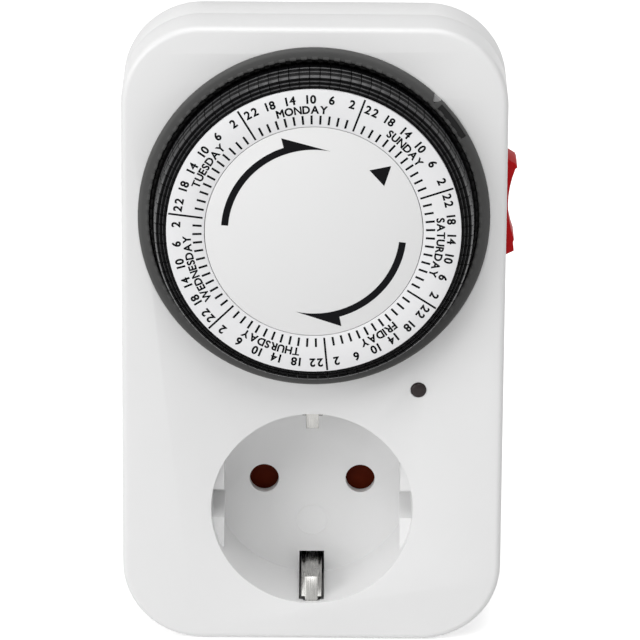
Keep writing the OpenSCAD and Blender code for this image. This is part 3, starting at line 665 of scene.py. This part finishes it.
def label_printing():
    """The week's scale: a line, ticks, hours and a name for each day."""
    bm = bmesh.new()
    for day, word in enumerate(DAYS):
        start = FIRST_LINE_A + day*DAY_A
        bar(bm, start, *DAY_LINE)
        for tick in range(1, TICKS):
            bar(bm, start + tick*DAY_A/TICKS, *TICK_LINE)
        for k, hour in enumerate(HOURS):
            lettering(bm, str(hour), start + (k + 0.5)*DAY_A/len(HOURS), *HOUR_TEXT)
        lettering(bm, word, start + DAY_A/2, *DAY_TEXT)
    printed("label_printing", bm, "dial")


ARROW_R = 17.0
ARROW_W = 1.33
BARB_R = 19.6
BARB_LAG_A = 0.5
BAND_STEPS = 24
HEAD_STEPS = 12
ARROWS = ((-86, -19.2, 10.7), (96.5, 163.5, 191.9))     # start, neck and tip
POINTER = ((40.3, 16.2), (47.8, 19.7), (55.2, 16.2))    # angle and radius of its corners


def arc_arrow(bm, start, neck, tip):
    """A curved band with a one-sided head, as on dials that turn one way only."""
    inner, outer = ARROW_R - ARROW_W/2, ARROW_R + ARROW_W/2
    angles = [start + (neck - start)*i/BAND_STEPS for i in range(BAND_STEPS + 1)]
    low = [bm.verts.new(on_dial(a, inner, LABEL_H)) for a in angles]
    high = [bm.verts.new(on_dial(a, outer, LABEL_H)) for a in angles]
    for i in range(BAND_STEPS):
        bm.faces.new((low[i], low[i + 1], high[i + 1], high[i]))
    under = [bm.verts.new(on_dial(neck + (tip - neck)*i/HEAD_STEPS, inner, LABEL_H))
             for i in range(1, HEAD_STEPS)]
    barb = on_dial(neck + BARB_LAG_A, BARB_R, LABEL_H)
    point = on_dial(tip, inner, LABEL_H)
    over = [bm.verts.new(barb.lerp(point, i/HEAD_STEPS)) for i in range(HEAD_STEPS)]
    end = bm.verts.new(point)
    lows = [low[-1]] + under + [end]
    bm.faces.new((lows[0], lows[1], over[1], over[0], high[-1]))
    for i in range(1, HEAD_STEPS - 1):
        bm.faces.new((lows[i], lows[i + 1], over[i + 1], over[i]))
    bm.faces.new((lows[-2], end, over[-1]))


def disc_printing():
    """Two arrows in the dial's sense of turning, and a pointer between them."""
    bm = bmesh.new()
    for arrow in ARROWS:
        arc_arrow(bm, *arrow)
    bm.faces.new([bm.verts.new(on_dial(a, r, LABEL_H)) for a, r in POINTER])
    printed("disc_printing", bm, "housing")


label_printing()
disc_printing()


# ---------------------------------------------------------------- camera
# The target is in the scene's frame, as are the places of the lamps and the floor
TARGET = (1.31, -FRONT_Z, 38.96)
ELEVATION = 18.54
DISTANCE = 1066
FOCAL_PX = 5523
FRAME_PX = 640
ROLL = 0.42


def camera():
    data = bpy.data.cameras.new("camera")
    data.sensor_width = 36
    data.lens = FOCAL_PX/FRAME_PX*data.sensor_width
    data.clip_end = 20
    obj = add_object("camera", data)
    tilt = math.radians(ELEVATION)
    away = Vector((0, -math.cos(tilt), math.sin(tilt)))
    obj.location = Vector(TARGET)*MM + away*DISTANCE*MM
    look = (-away).to_track_quat("-Z", "Y")
    roll = Matrix.Rotation(math.radians(ROLL), 4, "Z").to_quaternion()
    obj.rotation_euler = (look @ roll).to_euler()
    bpy.context.scene.camera = obj


camera()


# ---------------------------------------------------------------- light
# Places and sizes in metres, power in watts
AIM = Vector((0, -FRONT_Z*MM, 0.03))
LAMPS = {
    "key": ((-3.3, -2.75, 1.4), (3.0, 2.2), 78),
    "fill": ((-0.1, -1.6, 2.2), (1.4, 1.4), 28),
    "top": ((0.0, -0.3, 2.6), (2.4, 1.4), 21),
}
WORLD_STRENGTH = 0.23


def area_light(name, place, size, power):
    light = bpy.data.lights.new(name, "AREA")
    light.shape = "RECTANGLE"
    light.size, light.size_y = size
    light.energy = power
    obj = add_object(name, light)
    obj.location = place
    obj.rotation_euler = (AIM - Vector(place)).to_track_quat("-Z", "Y").to_euler()


def white_for_eye(nodes, links, plain, white):
    """A node with one value for the camera's, gloss and glass rays, and another for the rest."""
    path = nodes.new("ShaderNodeLightPath")
    seen = path.outputs["Is Camera Ray"]
    for ray in ("Is Glossy Ray", "Is Transmission Ray"):
        either = nodes.new("ShaderNodeMath")
        either.operation = "MAXIMUM"
        links.new(seen, either.inputs[0])
        links.new(path.outputs[ray], either.inputs[1])
        seen = either.outputs[0]
    strength = add_node(nodes, "MapRange", {"To Min": plain, "To Max": white})
    links.new(seen, strength.inputs["Value"])
    return strength


def world():
    """Plain soft light from all round, which looks white."""
    sky = bpy.data.worlds.new("studio")
    bpy.context.scene.world = sky
    sky.use_nodes = True
    nodes, links = sky.node_tree.nodes, sky.node_tree.links
    strength = white_for_eye(nodes, links, WORLD_STRENGTH, 1.0)
    links.new(strength.outputs["Result"], nodes["Background"].inputs["Strength"])
    nodes["Background"].inputs["Color"].default_value = (1, 1, 1, 1)


for lamp, values in LAMPS.items():
    area_light(lamp, *values)
world()


# ---------------------------------------------------------------- floor
GROUND_DROP = 0.0002
GROUND = ((-4, -3), (4, -3), (4, 5), (-4, 5))
GROUND_TONES = ((0.79, 0.79, 0.79), (0.81, 0.81, 0.81))
GROUND_CLOUD_SCALE = 1.5
GROUND_ROUGHNESS = 0.9
# How bright the floor is to the eye, near the object and far off, with the two distances
GLOW = {"From Min": 0.5, "From Max": 2.2, "To Min": 0.62, "To Max": 0.82}


def floor():
    """A pale floor: near white to the eye, with the object's soft shadow still on it."""
    bm = bmesh.new()
    low = cad_box[0][2] - GROUND_DROP
    bm.faces.new([bm.verts.new((x, y, low)) for x, y in GROUND])
    mesh = bpy.data.meshes.new("floor")
    bm.to_mesh(mesh)
    bm.free()
    obj = add_object("floor", mesh)
    mat, nodes, links, bsdf = new_material("floor")
    cloud = noise(nodes, links, GROUND_CLOUD_SCALE, detail=2)
    links.new(ramp_between(nodes, links, cloud, *GROUND_TONES), bsdf.inputs["Base Color"])
    bsdf.inputs["Roughness"].default_value = GROUND_ROUGHNESS
    bsdf.inputs["Emission Color"].default_value = (1, 1, 1, 1)
    reach = nodes.new("ShaderNodeVectorMath")
    reach.operation = "LENGTH"
    links.new(object_coords(nodes), reach.inputs[0])
    glow = add_node(nodes, "MapRange", GLOW)
    links.new(reach.outputs["Value"], glow.inputs["Value"])
    eye = white_for_eye(nodes, links, 0.0, GLOW["To Min"])
    links.new(glow.outputs["Result"], eye.inputs["To Max"])
    links.new(eye.outputs["Result"], bsdf.inputs["Emission Strength"])
    mesh.materials.append(mat)


floor()

bpy.context.scene.view_settings.view_transform = "Standard"
